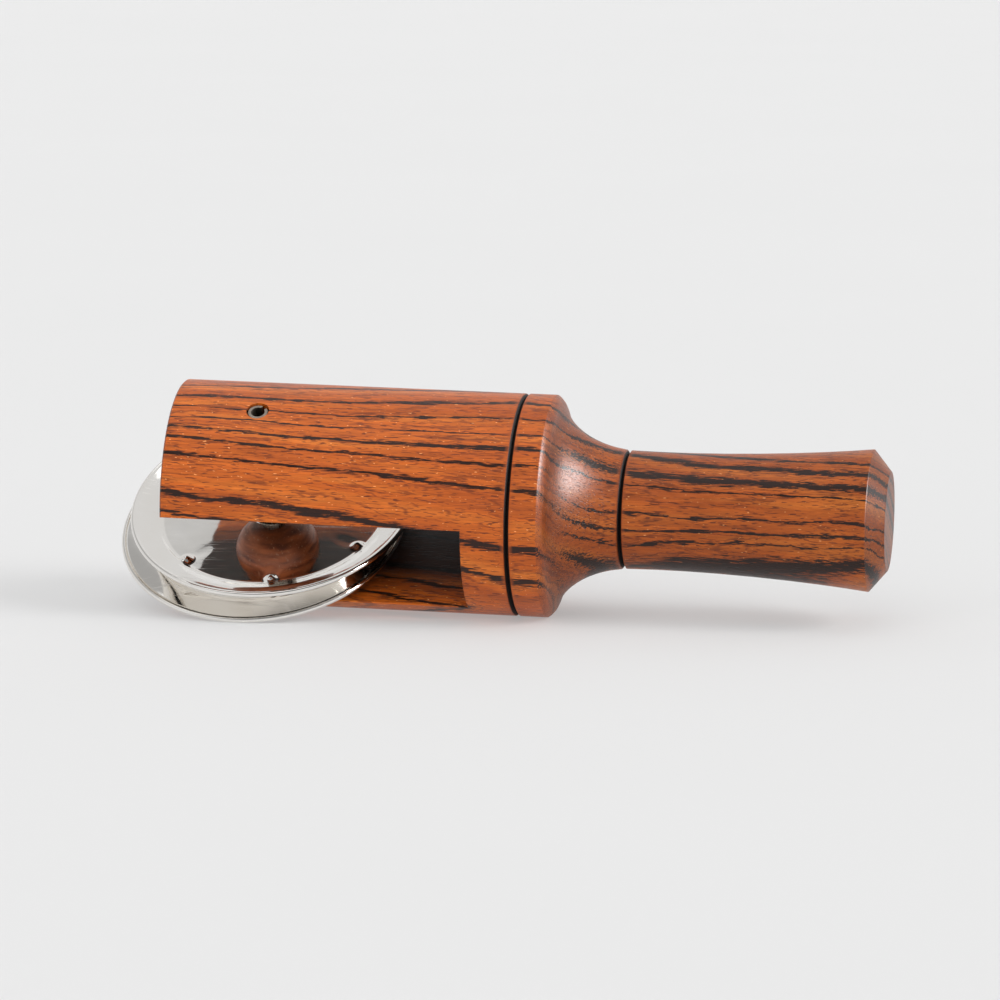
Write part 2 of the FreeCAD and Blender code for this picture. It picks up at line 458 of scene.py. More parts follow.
        # The body's two ends show different lines; they change over inside the cove.
        along = add(tree, "ShaderNodeSeparateXYZ", {0: spot})
        start, end = self.changeover
        ramp = add(
            tree,
            "ShaderNodeMapRange",
            {"Value": along, "From Min": start, "From Max": end, "To Min": ramps[0], "To Max": ramps[1]},
        )
        size = (self.ragged_length, self.ragged_width, self.ragged_width)
        limit = add(
            tree,
            "ShaderNodeMapRange",
            {
                "Value": self.grain(tree, spot, size, 4.0, roughness=0.62),
                "From Min": 0.29,
                "From Max": 0.66,
                "To Min": 0.08,
                "To Max": 0.86,
            },
        )
        over = add(tree, "ShaderNodeMath", {0: ramp, 1: limit}, operation="SUBTRACT")
        return add(
            tree,
            "ShaderNodeMapRange",
            {"Value": over, "From Min": -0.06, "From Max": 0.14, "To Max": 0.97},
        )

    def heartwood(
        self, tree: bpy.types.NodeTree, spot: bpy.types.Node, layer: bpy.types.Node
    ) -> tuple[bpy.types.Node, bpy.types.Node]:
        """Colour the wood between the lines.

        Args:
            tree: The material's nodes.
            spot: Millimetres in the turned frame.
            layer: The growth-layer coordinate.

        Returns:
            The colour node, and the fine fibre node that the bump also uses.
        """
        along = add(tree, "ShaderNodeSeparateXYZ", {0: spot})
        slow = add(tree, "ShaderNodeMath", {0: along, 1: 1 / self.band_length}, operation="MULTIPLY")
        banded = add(tree, "ShaderNodeMath", {0: layer, 1: 1 / self.band_width}, operation="MULTIPLY")
        bands = add(tree, "ShaderNodeCombineXYZ", {"X": slow, "Y": banded, "Z": 4.0})
        tone = add(tree, "ShaderNodeTexNoise", {"Vector": bands, "Scale": 1.0, "Detail": 2.0})
        colour = add(tree, "ShaderNodeValToRGB", {"Fac": tone})
        elements = colour.color_ramp.elements
        elements[0].position = 0.30
        elements[0].color = linear(self.red)
        elements[1].position = 0.72
        elements[1].color = linear(self.pale)
        elements.new(0.5).color = linear(self.heart)
        # Fine brown lines lie where a second, quicker run of bands crosses its middle.
        quick = add(tree, "ShaderNodeMath", {0: layer, 1: 1 / self.fine_line_width}, operation="MULTIPLY")
        slow = add(tree, "ShaderNodeMath", {0: along, 1: 1 / self.fine_line_length}, operation="MULTIPLY")
        crossing = add(tree, "ShaderNodeCombineXYZ", {"X": slow, "Y": quick, "Z": 9.0})
        ripple = add(tree, "ShaderNodeTexNoise", {"Vector": crossing, "Scale": 1.0, "Detail": 1.0})
        near = add(tree, "ShaderNodeMath", {0: ripple, 1: 0.5}, operation="SUBTRACT")
        near = add(tree, "ShaderNodeMath", {0: near}, operation="ABSOLUTE")
        fine = add(
            tree,
            "ShaderNodeMapRange",
            {"Value": near, "From Min": 0.006, "From Max": 0.026, "To Min": 0.62, "To Max": 0.0},
        )
        colour = add(
            tree,
            "ShaderNodeMix",
            {"Factor": fine, SHADES: colour.outputs["Color"], SHADES + 1: linear(self.fine_line)},
            data_type="RGBA",
        )
        for fibre in self.fibres:
            strands = self.grain(tree, spot, (fibre.length, fibre.width, fibre.width), 2.0)
            tint = add(
                tree,
                "ShaderNodeMapRange",
                {
                    "Value": strands,
                    "From Min": 0.25,
                    "From Max": 0.75,
                    "To Min": fibre.dark,
                    "To Max": fibre.light,
                },
            )
            colour = add(tree, "ShaderNodeVectorMath", {0: colour, 3: tint}, operation="SCALE")
        return colour, strands

    def oiled_end_grain(self, tree: bpy.types.NodeTree, colour: bpy.types.Node) -> bpy.types.Node:
        """Darken the wood where its fibres end at the surface and soak up more oil.

        Args:
            tree: The material's nodes.
            colour: The colour so far.

        Returns:
            The new colour node.
        """
        normal = add(tree, "ShaderNodeTexCoord").outputs["Normal"]
        along = tuple(self.turned.axes.col[0])
        facing = add(tree, "ShaderNodeVectorMath", {0: normal, 1: along}, operation="DOT_PRODUCT")
        steep = add(tree, "ShaderNodeMath", {0: facing.outputs["Value"]}, operation="ABSOLUTE")
        shade = add(
            tree,
            "ShaderNodeMapRange",
            {
                "Value": steep,
                "From Min": 0.15,
                "From Max": 1.0,
                "To Min": 1.0,
                "To Max": self.end_grain_shade,
            },
        )
        return add(tree, "ShaderNodeVectorMath", {0: colour, 3: shade}, operation="SCALE")

    def painted_slot_shade(
        self, tree: bpy.types.NodeTree, spot: bpy.types.Node, colour: bpy.types.Node
    ) -> bpy.types.Node:
        """Paint shade in the slot: darker towards its middle, where shade falls, and lighter towards its
        mouth and the outside, as painted light.

        Args:
            tree: The material's nodes.
            spot: Millimetres in the turned frame.
            colour: The colour so far.

        Returns:
            The new colour node.
        """
        reach = add(tree, "ShaderNodeVectorMath", {0: spot, 1: (0.0, 1.0, 1.0)}, operation="MULTIPLY")
        reach = add(tree, "ShaderNodeVectorMath", {0: reach}, operation="LENGTH").outputs["Value"]
        depth = add(
            tree,
            "ShaderNodeMapRange",
            {
                "Value": reach,
                "From Min": self.slot_core_radius,
                "From Max": self.slot_mouth_radius,
                "To Min": self.slot_core_shade,
                "To Max": self.slot_mouth_shade,
            },
        )
        along = add(tree, "ShaderNodeSeparateXYZ", {0: spot})
        past = add(
            tree,
            "ShaderNodeMapRange",
            {"Value": along, "From Min": self.slot_length, "From Max": self.slot_length + 2.0},
        )
        shade = add(tree, "ShaderNodeMath", {0: depth, 1: past}, operation="MAXIMUM")
        return add(tree, "ShaderNodeVectorMath", {0: colour, 3: shade}, operation="SCALE")

    def specks(self, tree: bpy.types.NodeTree, spot: bpy.types.Node, kind: Specks) -> bpy.types.Node:
        """Scatter small specks that are longer along the grain.

        Args:
            tree: The material's nodes.
            spot: Millimetres in the turned frame.
            kind: The set of specks.

        Returns:
            The node whose value is above 0 in a speck.
        """
        noise = self.grain(tree, spot, (kind.length, kind.width, kind.width), 0.0, shift=kind.shift)
        full = kind.limit + 0.06
        edges = {"Value": noise, "From Min": kind.limit, "From Max": full, "To Max": 0.8}
        return add(tree, "ShaderNodeMapRange", edges)

    def burnt_grooves(
        self, tree: bpy.types.NodeTree, spot: bpy.types.Node
    ) -> tuple[bpy.types.Node, bpy.types.Node]:
        """Blacken the two lathe grooves, with a brown halo where the heat spread.

        Args:
            tree: The material's nodes.
            spot: Millimetres in the turned frame.

        Returns:
            The node that is 1 in a groove, and the node that fades out beside it.
        """
        along = add(tree, "ShaderNodeSeparateXYZ", {0: spot})
        full, none = self.scorch_edge
        masks = []
        for middle, half_width in self.grooves:
            away = add(tree, "ShaderNodeMath", {0: along, 1: middle}, operation="SUBTRACT")
            away = add(tree, "ShaderNodeMath", {0: away}, operation="ABSOLUTE")
            for start, end, top in (
                (half_width - full, half_width - none, 1.0),
                (half_width, half_width + self.halo_width, self.halo_strength),
            ):
                mask = add(
                    tree,
                    "ShaderNodeMapRange",
                    {"Value": away, "From Min": start, "From Max": end, "To Min": top, "To Max": 0.0},
                )
                masks.append(mask)
        burnt = add(tree, "ShaderNodeMath", {0: masks[0], 1: masks[2]}, operation="MAXIMUM")
        halo = add(tree, "ShaderNodeMath", {0: masks[1], 1: masks[3]}, operation="MAXIMUM")
        return burnt, halo


@dataclass(frozen=True)
class TurnedBeadWood(Finish):
    """Walnut-brown bead, tumbled and waxed: dark, with fine turning lines round the pin."""

    turned: TurnedFrame
    name: str = "bead_wood_waxed"
    brown: str = "#B4643A"
    dark: str = "#653019"
    fleck: str = "#B98263"
    band_size: tuple[float, float, float] = (5.0, 5.0, 0.9)
    turning_size: tuple[float, float, float] = (30.0, 30.0, 0.25)
    dust_scale: float = 2.6

    def paint(self, tree: bpy.types.NodeTree, shader: bpy.types.Node) -> None:
        """Paint growth bands across the bead, fine turning lines and light pores."""
        spot = self.spot(tree, self.turned.mapping())
        bands = self.grain(tree, spot, self.band_size, 3.0)
        colour = add(tree, "ShaderNodeValToRGB", {"Fac": bands})
        elements = colour.color_ramp.elements
        elements[0].position = 0.34
        elements[0].color = linear(self.dark)
        elements[1].position = 0.62
        elements[1].color = linear(self.brown)
        dust = add(tree, "ShaderNodeTexNoise", {"Vector": spot, "Scale": self.dust_scale, "Detail": 0.0})
        flecks = add(
            tree,
            "ShaderNodeMapRange",
            {"Value": dust, "From Min": 0.70, "From Max": 0.78, "To Max": 0.7},
        )
        painted = add(
            tree,
            "ShaderNodeMix",
            {"Factor": flecks, SHADES: colour.outputs["Color"], SHADES + 1: linear(self.fleck)},
            data_type="RGBA",
        )
        rings = self.grain(tree, spot, self.turning_size, 1.0)
        bump = add(tree, "ShaderNodeBump", {"Height": rings, "Distance": 0.05 * MM, "Strength": 0.7})
        rough = add(
            tree,
            "ShaderNodeMapRange",
            {"Value": bands, "From Min": 0.3, "From Max": 0.7, "To Min": 0.42, "To Max": 0.3},
        )
        tree.links.new(painted.outputs[2], shader.inputs["Base Color"])
        tree.links.new(rough.outputs[0], shader.inputs["Roughness"])
        tree.links.new(bump.outputs[0], shader.inputs["Normal"])
        shader.inputs["IOR"].default_value = 1.5


@dataclass(frozen=True)
class PlatedNickel(Finish):
    """Bright nickel plate on pressed sheet steel: a mirror, a little wavy, with hairline wear."""

    name: str = "bright_nickel_plate"
    bright: str = "#F6F4F1"
    warm: str = "#EFEBE5"
    cloud_length: float = 7.0
    hairline_size: tuple[float, float, float] = (9.0, 0.2, 1.4)

    def paint(self, tree: bpy.types.NodeTree, shader: bpy.types.Node) -> None:
        """Paint slow tone changes, a pressed sheet's waviness and hairline scratches."""
        spot = self.spot(tree, {"Scale": (MM, MM, MM)})
        scale = 1 / self.cloud_length
        cloud = add(tree, "ShaderNodeTexNoise", {"Vector": spot, "Scale": scale, "Detail": 2.0})
        colour = add(
            tree,
            "ShaderNodeMix",
            {"Factor": cloud, SHADES: linear(self.bright), SHADES + 1: linear(self.warm)},
            data_type="RGBA",
        )
        # A real hairline is 0.02 mm wide; it is drawn ten times as wide, so that it shows.
        scratch = self.grain(tree, spot, self.hairline_size, 0.0)
        worn = add(
            tree,
            "ShaderNodeMapRange",
            {"Value": scratch, "From Min": 0.66, "From Max": 0.74, "To Min": 0.06, "To Max": 0.2},
        )
        bump = add(tree, "ShaderNodeBump", {"Height": cloud, "Distance": 0.06 * MM, "Strength": 1.0})
        tree.links.new(colour.outputs[2], shader.inputs["Base Color"])
        tree.links.new(worn.outputs[0], shader.inputs["Roughness"])
        tree.links.new(bump.outputs[0], shader.inputs["Normal"])
        shader.inputs["Metallic"].default_value = 1.0


@dataclass(frozen=True)
class SpringSteel(Finish):
    """Oiled spring steel, rolled and tempered: dark grey-brown metal with a dull drawn sheen."""

    turned: TurnedFrame
    name: str = "spring_steel_tempered"
    grey: str = "#A9A197"
    brown: str = "#7D6F62"
    patch_scale: float = 0.7
    drawn_size: tuple[float, float, float] = (0.2, 0.2, 6.0)

    def paint(self, tree: bpy.types.NodeTree, shader: bpy.types.Node) -> None:
        """Paint drawing marks along the pin and patches of temper colour."""
        spot = self.spot(tree, self.turned.mapping())
        scale = self.patch_scale
        patches = add(tree, "ShaderNodeTexNoise", {"Vector": spot, "Scale": scale, "Detail": 3.0})
        colour = add(
            tree,
            "ShaderNodeMix",
            {"Factor": patches, SHADES: linear(self.grey), SHADES + 1: linear(self.brown)},
            data_type="RGBA",
        )
        marks = self.grain(tree, spot, self.drawn_size, 1.0)
        rough = add(
            tree,
            "ShaderNodeMapRange",
            {"Value": marks, "From Min": 0.3, "From Max": 0.7, "To Min": 0.24, "To Max": 0.42},
        )
        bump = add(tree, "ShaderNodeBump", {"Height": marks, "Distance": 0.01 * MM, "Strength": 0.6})
        tree.links.new(colour.outputs[2], shader.inputs["Base Color"])
        tree.links.new(rough.outputs[0], shader.inputs["Roughness"])
        tree.links.new(bump.outputs[0], shader.inputs["Normal"])
        shader.inputs["Metallic"].default_value = 1.0


@dataclass(frozen=True)
class MattePaper(Finish):
    """Seamless translucent background paper: matte, and lit from below, so that shadows stay pale."""

    name: str = "background_paper"
    pale: str = "#B5B5B5"
    dim: str = "#B3B3B3"
    glow: float = 0.32
    cloud_scale: float = 9.0

    def paint(self, tree: bpy.types.NodeTree, shader: bpy.types.Node) -> None:
        """Paint a barely uneven pale grey."""
        place = add(tree, "ShaderNodeTexCoord").outputs["Object"]
        cloud = add(tree, "ShaderNodeTexNoise", {"Vector": place, "Scale": self.cloud_scale})
        colour = add(
            tree,
            "ShaderNodeMix",
            {"Factor": cloud, SHADES: linear(self.pale), SHADES + 1: linear(self.dim)},
            data_type="RGBA",
        )
        tree.links.new(colour.outputs[2], shader.inputs["Base Color"])
        shader.inputs["Roughness"].default_value = 0.9
        shader.inputs["Specular IOR Level"].default_value = 0.1
        shader.inputs["Emission Color"].default_value = (1.0, 1.0, 1.0, 1.0)
        shader.inputs["Emission Strength"].default_value = self.glow


@dataclass(frozen=True)
class WoodenBody:
    """The turned body with the pin and the bead that are tight in it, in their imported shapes."""

    length: float = 125.2

    def dress(self, nodes: dict[str, bpy.types.Object], turned: TurnedFrame) -> None:
        """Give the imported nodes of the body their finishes.

        Args:
            nodes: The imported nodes, by name.
            turned: The turned frame.
        """
        finishes = {
            "wooden_body": StripedHardwood(turned),
            "spring_pin": SpringSteel(turned),
            "spacer_bead": TurnedBeadWood(turned),
        }
        for name, finish in finishes.items():
            nodes[name].data.materials.clear()
            nodes[name].data.materials.append(finish.material())
            log.info("%s: %s", name, finish.name)


@dataclass(frozen=True)
class JinglePlace:
    """Where a jingle hangs: the middle of its rim, its hollow direction and its first nub."""

    middle: Vector
    hollow: Vector
    towards_nub: Vector

    def matrix(self) -> Matrix:
        """Give the matrix from the jingle's own millimetres to the row frame."""
        across = self.hollow.cross(self.towards_nub).normalized()
        axes = Matrix((across.cross(self.hollow), across, self.hollow)).transposed()
        return Matrix.Translation(self.middle) @ axes.to_4x4() @ Matrix.Scale(MM, 4)


@dataclass(frozen=True)
class Jingle:
    """One pressed jingle. Heights are above the plane that its rim lies on, hollow side up."""

    name: str
    side: Side
    seed: float
    rim_radius: float = 25.4
    rim_bead_radius: float = 0.45
    sheet: float = 0.5
    hole_radius: float = 4.1
    flange_inner_radius: float = 21.0
    flange_inner_height: float = -1.2
    wall_foot_radius: float = 19.8
    trough_height: float = -1.75
    middle_height: float = -1.5
    nub_count: int = 7
    nub_circle_radius: float = 19.3
    nub_foot_radius: float = 1.5
    nub_height: float = 0.95
    flange_outer_height: float = -0.12
    flange_bow: float = 0.16
    crease_length: float = 5.5
    crease_width: float = 1.5
    crease_depth: float = 0.07
    waviness: float = 0.10
    packed_rim_bead_radius: float = 0.35
    packed_nub_reach: float = 0.6
    steps: int = 420

    def outline(self) -> list[tuple[float, float]]:
        """Draw half the section, as (radius, height) from the hole round the rim and back.

        Returns:
            The points of the closed outline.
        """
        top: list[tuple[float, float]] = []
        # The raised middle falls away to the trough like half a wave.
        for share in np.linspace(0.0, 1.0, 46):
            radius = self.hole_radius + (self.wall_foot_radius - self.hole_radius) * share
            wave = 0.5 * (1 + math.cos(math.pi * radius / self.wall_foot_radius))
            top.append((radius, self.trough_height + (self.middle_height - self.trough_height) * wave))
        rise = self.flange_inner_height - self.trough_height
        for share in np.linspace(0.0, 1.0, 9)[1:]:
            radius = self.wall_foot_radius + (self.flange_inner_radius - self.wall_foot_radius) * share
            top.append((radius, self.trough_height + rise * share * share * (3 - 2 * share)))
        # The flange is a cone that bows up a little in its middle.
        bead_middle = self.rim_radius - self.rim_bead_radius
        climb = self.flange_outer_height - self.flange_inner_height
        for share in np.linspace(0.0, 1.0, 12)[1:-1]:
            radius = self.flange_inner_radius + (bead_middle - self.flange_inner_radius) * share
            bow = self.flange_bow * math.sin(math.pi * share)
            top.append((radius, self.flange_inner_height + climb * share + bow))
        bead = []
        for angle in np.linspace(math.radians(125), math.radians(-125), 19):
            radius = bead_middle + self.rim_bead_radius * math.cos(angle)
            bead.append((radius, -self.rim_bead_radius + self.rim_bead_radius * math.sin(angle)))
        back = [(radius, height - self.sheet) for radius, height in reversed(top)]
        return top + bead + back

    def turned_mesh(self) -> bpy.types.Object:
        """Turn the outline into a closed mesh, in millimetres about its own axis.

        Returns:
            The object that holds the mesh.
        """
        outline = np.array(self.outline())
        count = len(outline)
        angles = np.linspace(0.0, math.tau, self.steps, endpoint=False)
        points = np.empty((self.steps, count, 3))
        points[:, :, 0] = np.cos(angles)[:, None] * outline[:, 0]
        points[:, :, 1] = np.sin(angles)[:, None] * outline[:, 0]
        points[:, :, 2] = outline[:, 1]
        faces = []
        for step in range(self.steps):
            here = step * count
            there = (step + 1) % self.steps * count
            for index in range(count):
                after = (index + 1) % count
                faces.append((here + index, there + index, there + after, here + after))
        mesh = bpy.data.meshes.new(self.name + "_blank")
        mesh.from_pydata(points.reshape(-1, 3).tolist(), [], faces)
        made = bpy.data.objects.new(self.name + "_blank", mesh)
        bpy.context.scene.collection.objects.link(made)
        return made

    def pressing(self, finish: bpy.types.Material) -> dict[str, Any]:
        """Name the press tool's inputs: sizes in millimetres, the seed and the finish."""
        return {
            "Nub Count": float(self.nub_count),
            "Nub Circle Radius": self.nub_circle_radius,
            "Nub Foot Radius": self.nub_foot_radius,
            "Nub Height": self.nub_height,
            "Crease Length": self.crease_length,
            "Crease Width": self.crease_width,
            "Crease Depth": self.crease_depth,
            "Waviness": self.waviness,
            "Seed": self.seed,
            "Finish": finish,
        }

    def press(self, blank: bpy.types.Object, finish: bpy.types.Material) -> bpy.types.Mesh:
        """Press nubs, creases and a little waviness into the blank.

        Args:
            blank: The turned mesh.
            finish: The jingle's material.

        Returns:
            The pressed mesh, still in millimetres about its own axis.
        """
        sizes = self.pressing(finish)
        tree = press_tool(sizes)
        modifier = blank.modifiers.new("press", "NODES")
        modifier.node_group = tree
        for socket in tree.interface.items_tree:
            if socket.in_out == "INPUT" and socket.name in sizes:
                modifier[socket.identifier] = sizes[socket.name]
        graph = bpy.context.evaluated_depsgraph_get()
        pressed = bpy.data.meshes.new_from_object(blank.evaluated_get(graph), depsgraph=graph)
        bpy.data.objects.remove(blank)
        return pressed

    def place(self, node: str, packed: bpy.types.Object) -> JinglePlace:
        """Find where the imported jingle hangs.

        Args:
            node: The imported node's name.
            packed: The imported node's object.

        Returns:
            The place of the jingle in the row frame.
        """
        rim_slack = 0.03
        bowl_share = 0.8
        nub_top_share = 0.9
        points = np.array([tuple(vertex.co) for vertex in packed.data.vertices])
        low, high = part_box(node)
        middle = np.array((low + high) / 2)
        normal = np.linalg.svd(points - points.mean(0), full_matrices=False)[2][2]
        for _ in range(4):
            flat = points - middle - np.outer((points - middle) @ normal, normal)
            outer = points[np.linalg.norm(flat, axis=1) > (self.rim_radius - rim_slack) * MM]
            middle = (outer.min(0) + outer.max(0)) / 2
            axes = np.linalg.svd(outer - outer.mean(0), full_matrices=False)[2]
            normal = axes[2]
            sides = outer @ axes[:2].T
            system = np.column_stack([2 * sides, np.ones(len(sides))])
            centre = np.linalg.lstsq(system, (sides**2).sum(1), rcond=None)[0][:2]
            middle = centre @ axes[:2] + (outer @ normal).mean() * normal
        heights = (points - middle) @ normal
        flat = points - middle - np.outer(heights, normal)
        radii = np.linalg.norm(flat, axis=1)
        inner = radii < self.flange_inner_radius * bowl_share * MM
        if heights[inner].mean() > 0:
            normal = -normal
            heights = -heights
        first = flat[np.argmax(radii)] / radii.max()
        second = np.cross(normal, first)
        near = np.abs(radii - self.nub_circle_radius * MM) < self.packed_nub_reach * MM
        raised = near & (heights > np.quantile(heights[near], nub_top_share))
        turns = self.nub_count * np.arctan2(flat[raised] @ second, flat[raised] @ first)
        phase = math.atan2(np.sin(turns).mean(), np.cos(turns).mean()) / self.nub_count
        nub = first * math.cos(phase) + second * math.sin(phase)
        # The outer ring lies at the rim bead's middle, which is under the rim's plane.
        rim = middle + normal * self.packed_rim_bead_radius * MM
        return JinglePlace(Vector(rim), Vector(normal), Vector(nub))

    def build(self, packed: bpy.types.Object, finish: bpy.types.Material) -> bpy.types.Object:
        """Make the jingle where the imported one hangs.

        Args:
            packed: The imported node's object.
            finish: The jingle's material.

        Returns:
            The finished piece, at the origin, with its place in its mesh.
        """
        mesh = self.press(self.turned_mesh(), finish)
        mesh.transform(self.place(self.name, packed).matrix())
        mesh.shade_smooth()
        piece = bpy.data.objects.new(self.name + "_plated", mesh)
        bpy.context.scene.collection.objects.link(piece)
        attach(piece, self.name)
        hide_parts(self.name)
        log.info("%s: %s, %d faces", piece.name, self.side.value, len(mesh.polygons))
        return piece


def press_tool(sizes: dict[str, Any]) -> bpy.types.NodeTree:
    """Make the Geometry Nodes that press a turned blank, hollow side up.

    Args:
        sizes: The tree's inputs by name, which give each input its kind.

    Returns:
        The node tree.
    """
    tree = bpy.data.node_groups.new("press_tool", "GeometryNodeTree")
    tree.interface.new_socket("Geometry", in_out="OUTPUT", socket_type="NodeSocketGeometry")
    tree.interface.new_socket("Geometry", in_out="INPUT", socket_type="NodeSocketGeometry")
    for name, value in sizes.items():
        kind = "NodeSocketFloat" if isinstance(value, float) else "NodeSocketMaterial"
        tree.interface.new_socket(name, in_out="INPUT", socket_type=kind)
    given = add(tree, "NodeGroupInput").outputs
    place = add(tree, "GeometryNodeInputPosition")
    parts = add(tree, "ShaderNodeSeparateXYZ", {0: place})
    flat = add(tree, "ShaderNodeVectorMath", {0: place, 1: (1.0, 1.0, 0.0)}, operation="MULTIPLY")
    radius = add(tree, "ShaderNodeVectorMath", {0: flat}, operation="LENGTH").outputs["Value"]
    angle = add(tree, "ShaderNodeMath", {0: parts.outputs["Y"], 1: parts.outputs["X"]}, operation="ARCTAN2")
    # Fold every sector on to the one round the first nub, which lies on the X axis.
    sector = add(tree, "ShaderNodeMath", {0: math.tau, 1: given["Nub Count"]}, operation="DIVIDE")
    half = add(tree, "ShaderNodeMath", {0: sector, 1: 0.5}, operation="MULTIPLY")
    shifted = add(tree, "ShaderNodeMath", {0: angle, 1: half}, operation="ADD")
    folded = add(tree, "ShaderNodeMath", {0: shifted, 1: sector}, operation="FLOORED_MODULO")
    folded = add(tree, "ShaderNodeMath", {0: folded, 1: half}, operation="SUBTRACT")
    cosine = add(tree, "ShaderNodeMath", {0: folded}, operation="COSINE")
    sine = add(tree, "ShaderNodeMath", {0: folded}, operation="SINE")
    outward = add(tree, "ShaderNodeMath", {0: radius, 1: cosine}, operation="MULTIPLY")
    outward = add(tree, "ShaderNodeMath", {0: outward, 1: given["Nub Circle Radius"]}, operation="SUBTRACT")
    sideways = add(tree, "ShaderNodeMath", {0: radius, 1: sine}, operation="MULTIPLY")
    # A nub is a round cap with a soft foot.
    from_nub = add(tree, "ShaderNodeCombineXYZ", {"X": outward, "Y": sideways})
    distance = add(tree, "ShaderNodeVectorMath", {0: from_nub}, operation="LENGTH").outputs["Value"]
    share = add(tree, "ShaderNodeMath", {0: distance, 1: given["Nub Foot Radius"]}, operation="DIVIDE")
    cap = add(
        tree,
        "ShaderNodeMapRange",
        {"Value": share, "From Min": 1.0, "From Max": 0.0, "To Min": 0.0, "To Max": 1.0},
        interpolation_type="SMOOTHSTEP",
    )
    raised = add(tree, "ShaderNodeMath", {0: cap, 1: given["Nub Height"]}, operation="MULTIPLY")
    # The sheet draws in behind each nub, in a shallow crease towards the hole.
    inward = add(tree, "ShaderNodeMath", {0: given["Crease Length"], 1: -0.5}, operation="MULTIPLY")
    crease_x = add(tree, "ShaderNodeMath", {0: outward, 1: inward}, operation="SUBTRACT")
    crease_x = add(tree, "ShaderNodeMath", {0: crease_x, 1: inward}, operation="DIVIDE")
    crease_y = add(tree, "ShaderNodeMath", {0: sideways, 1: given["Crease Width"]}, operation="DIVIDE")
    from_crease = add(tree, "ShaderNodeCombineXYZ", {"X": crease_x, "Y": crease_y})
    reach = add(tree, "ShaderNodeVectorMath", {0: from_crease}, operation="LENGTH").outputs["Value"]
    dip = add(
        tree,
        "ShaderNodeMapRange",
        {"Value": reach, "From Min": 1.3, "From Max": 0.0, "To Min": 0.0, "To Max": 1.0},
        interpolation_type="SMOOTHSTEP",
    )
    sunk = add(tree, "ShaderNodeMath", {0: dip, 1: given["Crease Depth"]}, operation="MULTIPLY")
    pressed = add(tree, "ShaderNodeMath", {0: raised, 1: sunk}, operation="SUBTRACT")
    noise = add(
        tree,
        "ShaderNodeTexNoise",
        {"Vector": flat, "W": given["Seed"], "Scale": 1 / 11.0, "Detail": 1.0},
        noise_dimensions="4D",
    )
    uneven = add(tree, "ShaderNodeMath", {0: noise, 1: 0.5}, operation="SUBTRACT")
    pressed = add(
        tree, "ShaderNodeMath", {0: uneven, 1: given["Waviness"], 2: pressed}, operation="MULTIPLY_ADD"
    )
    offset = add(tree, "ShaderNodeCombineXYZ", {"Z": pressed})
    moved = add(tree, "GeometryNodeSetPosition", {"Geometry": given["Geometry"], "Offset": offset})
    real = add(tree, "GeometryNodeRealizeInstances", {"Geometry": moved})
    coated = add(tree, "GeometryNodeSetMaterial", {"Geometry": real, "Material": given["Finish"]})
    add(tree, "NodeGroupOutput", {"Geometry": coated})
    return tree


@dataclass(frozen=True)
class Softbox:
    """A large soft lamp: strength, tilt from straight down, width, and whether it lights or reflects."""

    name: str
    strength: float
    tilt: tuple[float, float, float]
    angle: float
    lights: bool
    reflected: bool


@dataclass(frozen=True)
class DarkZone:
    """A darker part of the room: direction, cosines where it starts and is full, share of the light."""

    direction: tuple[float, float, float]
    start: float
    full: float
    share: float


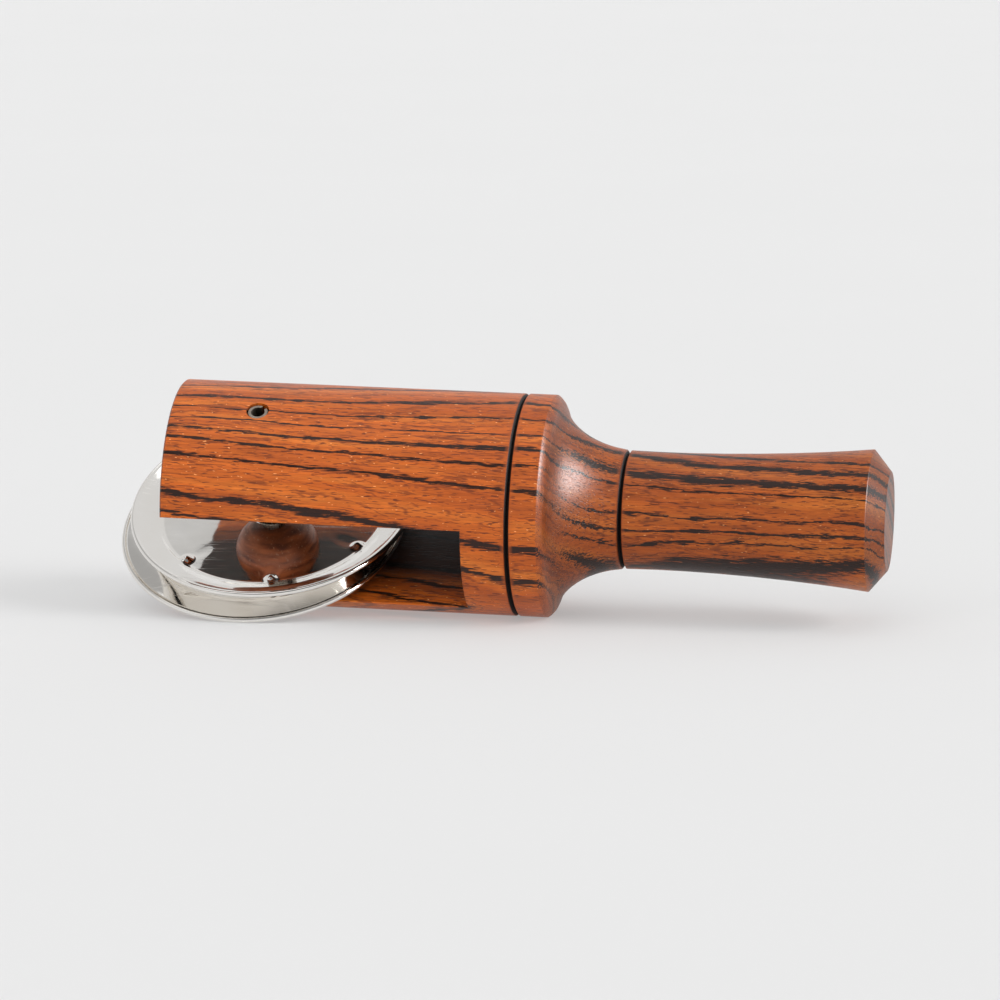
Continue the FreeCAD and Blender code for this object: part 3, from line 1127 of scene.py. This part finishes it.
@dataclass(frozen=True)
class Studio:
    """A pale paper sweep, soft light and the camera."""

    floor_half_width: float = 5000.0
    floor_front: float = -3000.0
    sweep_start: float = 3200.0
    sweep_radius: float = 900.0
    wall_height: float = 3500.0
    azimuth: float = 9.54
    elevation: float = 8.54
    roll: float = 0.24
    distance: float = 1000.0
    focal_length: float = 205.5
    aim_offset: tuple[float, float, float] = (-0.03, -2.97, 0.31)
    sensor_width: float = 36.0
    far_clip: float = 100.0
    room_strength: float = 0.9
    dark_zones: tuple[DarkZone, ...] = (
        DarkZone((-0.45, 0.05, 0.89), 0.90, 0.985, 0.5556),
        DarkZone((0.12, -0.72, 0.68), 0.74, 0.94, 0.3),
    )
    lamps: tuple[Softbox, ...] = (
        Softbox("right_softbox", 1.3, (0.0, 57.0, -14.0), 30.0, True, False),
        Softbox("right_sheen", 10.0, (0.0, 57.0, -14.0), 38.0, False, True),
        Softbox("overhead_softbox", 0.3, (8.0, -6.0, 0.0), 42.0, True, True),
        Softbox("front_fill", 1.1, (62.0, 0.0, -12.0), 60.0, True, False),
    )

    def sweep(self) -> bpy.types.Object:
        """Lay the background paper: a floor that curves up into a wall.

        Returns:
            The sweep.
        """
        section = [(self.floor_front, 0.0), (self.sweep_start, 0.0)]
        for angle in np.linspace(0.0, math.pi / 2, 25)[1:]:
            out = self.sweep_start + self.sweep_radius * math.sin(angle)
            section.append((out, self.sweep_radius * (1 - math.cos(angle))))
        section.append((section[-1][0], self.wall_height))
        half = self.floor_half_width * MM
        points = [(side * half, out * MM, up * MM) for out, up in section for side in (-1, 1)]
        faces = [(2 * row, 2 * row + 1, 2 * row + 3, 2 * row + 2) for row in range(len(section) - 1)]
        mesh = bpy.data.meshes.new("paper_sweep")
        mesh.from_pydata(points, [], faces)
        mesh.shade_smooth()
        mesh.materials.append(MattePaper().material())
        made = bpy.data.objects.new("paper_sweep", mesh)
        bpy.context.scene.collection.objects.link(made)
        made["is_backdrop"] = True
        return made

    def light(self) -> None:
        """Light the table with softboxes, in a pale room with two darker zones."""
        for lamp_kind in self.lamps:
            lamp = bpy.data.lights.new(lamp_kind.name, "SUN")
            lamp.energy = lamp_kind.strength
            lamp.angle = math.radians(lamp_kind.angle)
            holder = bpy.data.objects.new(lamp_kind.name, lamp)
            holder.rotation_euler = Euler([math.radians(angle) for angle in lamp_kind.tilt])
            holder.visible_diffuse = lamp_kind.lights
            holder.visible_glossy = lamp_kind.reflected
            bpy.context.scene.collection.objects.link(holder)
        world = bpy.data.worlds.new("studio_room")
        bpy.context.scene.world = world
        world.use_nodes = True
        tree = world.node_tree
        tree.nodes.clear()
        direction = add(tree, "ShaderNodeTexCoord")
        strength: float | bpy.types.Node = self.room_strength
        for zone in self.dark_zones:
            facing = add(
                tree,
                "ShaderNodeVectorMath",
                {0: direction.outputs["Generated"], 1: tuple(Vector(zone.direction).normalized())},
                operation="DOT_PRODUCT",
            )
            share = add(
                tree,
                "ShaderNodeMapRange",
                {
                    "Value": facing.outputs["Value"],
                    "From Min": zone.start,
                    "From Max": zone.full,
                    "To Min": 1.0,
                    "To Max": zone.share,
                },
                interpolation_type="SMOOTHSTEP",
            )
            strength = add(tree, "ShaderNodeMath", {0: strength, 1: share}, operation="MULTIPLY")
        room = add(tree, "ShaderNodeBackground", {"Strength": strength})
        add(tree, "ShaderNodeOutputWorld", {"Surface": room})

    def camera(self, low: Vector, high: Vector) -> None:
        """Stand the camera off the object's middle.

        Args:
            low: The object's lowest corner.
            high: The object's highest corner.
        """
        azimuth = math.radians(self.azimuth)
        elevation = math.radians(self.elevation)
        level = math.cos(elevation)
        back = Vector((math.sin(azimuth) * level, -math.cos(azimuth) * level, math.sin(elevation)))
        aim = (low + high) / 2 + Vector(self.aim_offset) * MM
        lens = bpy.data.cameras.new("camera")
        lens.lens = self.focal_length
        lens.sensor_width = self.sensor_width
        lens.clip_end = self.far_clip
        made = bpy.data.objects.new("camera", lens)
        turn = (-back).to_track_quat("-Z", "Y").to_matrix()
        roll = Matrix.Rotation(math.radians(self.roll), 3, "Z")
        made.matrix_world = Matrix.Translation(aim + back * self.distance * MM) @ (turn @ roll).to_4x4()
        bpy.context.scene.collection.objects.link(made)
        bpy.context.scene.camera = made


def main() -> None:
    """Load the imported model, dress it and set the studio round it."""
    logging.basicConfig(level=logging.INFO)
    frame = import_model()
    bpy.context.view_layer.update()
    packed_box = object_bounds()
    nodes = frame["nodes"]
    body = WoodenBody()
    body.dress(nodes, TurnedFrame.from_record(frame["record"], body.length))
    nickel = PlatedNickel().material()
    for jingle in (Jingle("upper_jingle", Side.UP, 3.0), Jingle("lower_jingle", Side.DOWN, 8.0)):
        jingle.build(nodes[jingle.name], nickel)
    studio = Studio()
    studio.sweep()
    studio.light()
    studio.camera(*packed_box)
    bpy.context.scene.view_settings.view_transform = "Standard"
    bpy.context.view_layer.update()
    log.info("sizes written")


if __name__ == "__main__":
    main()
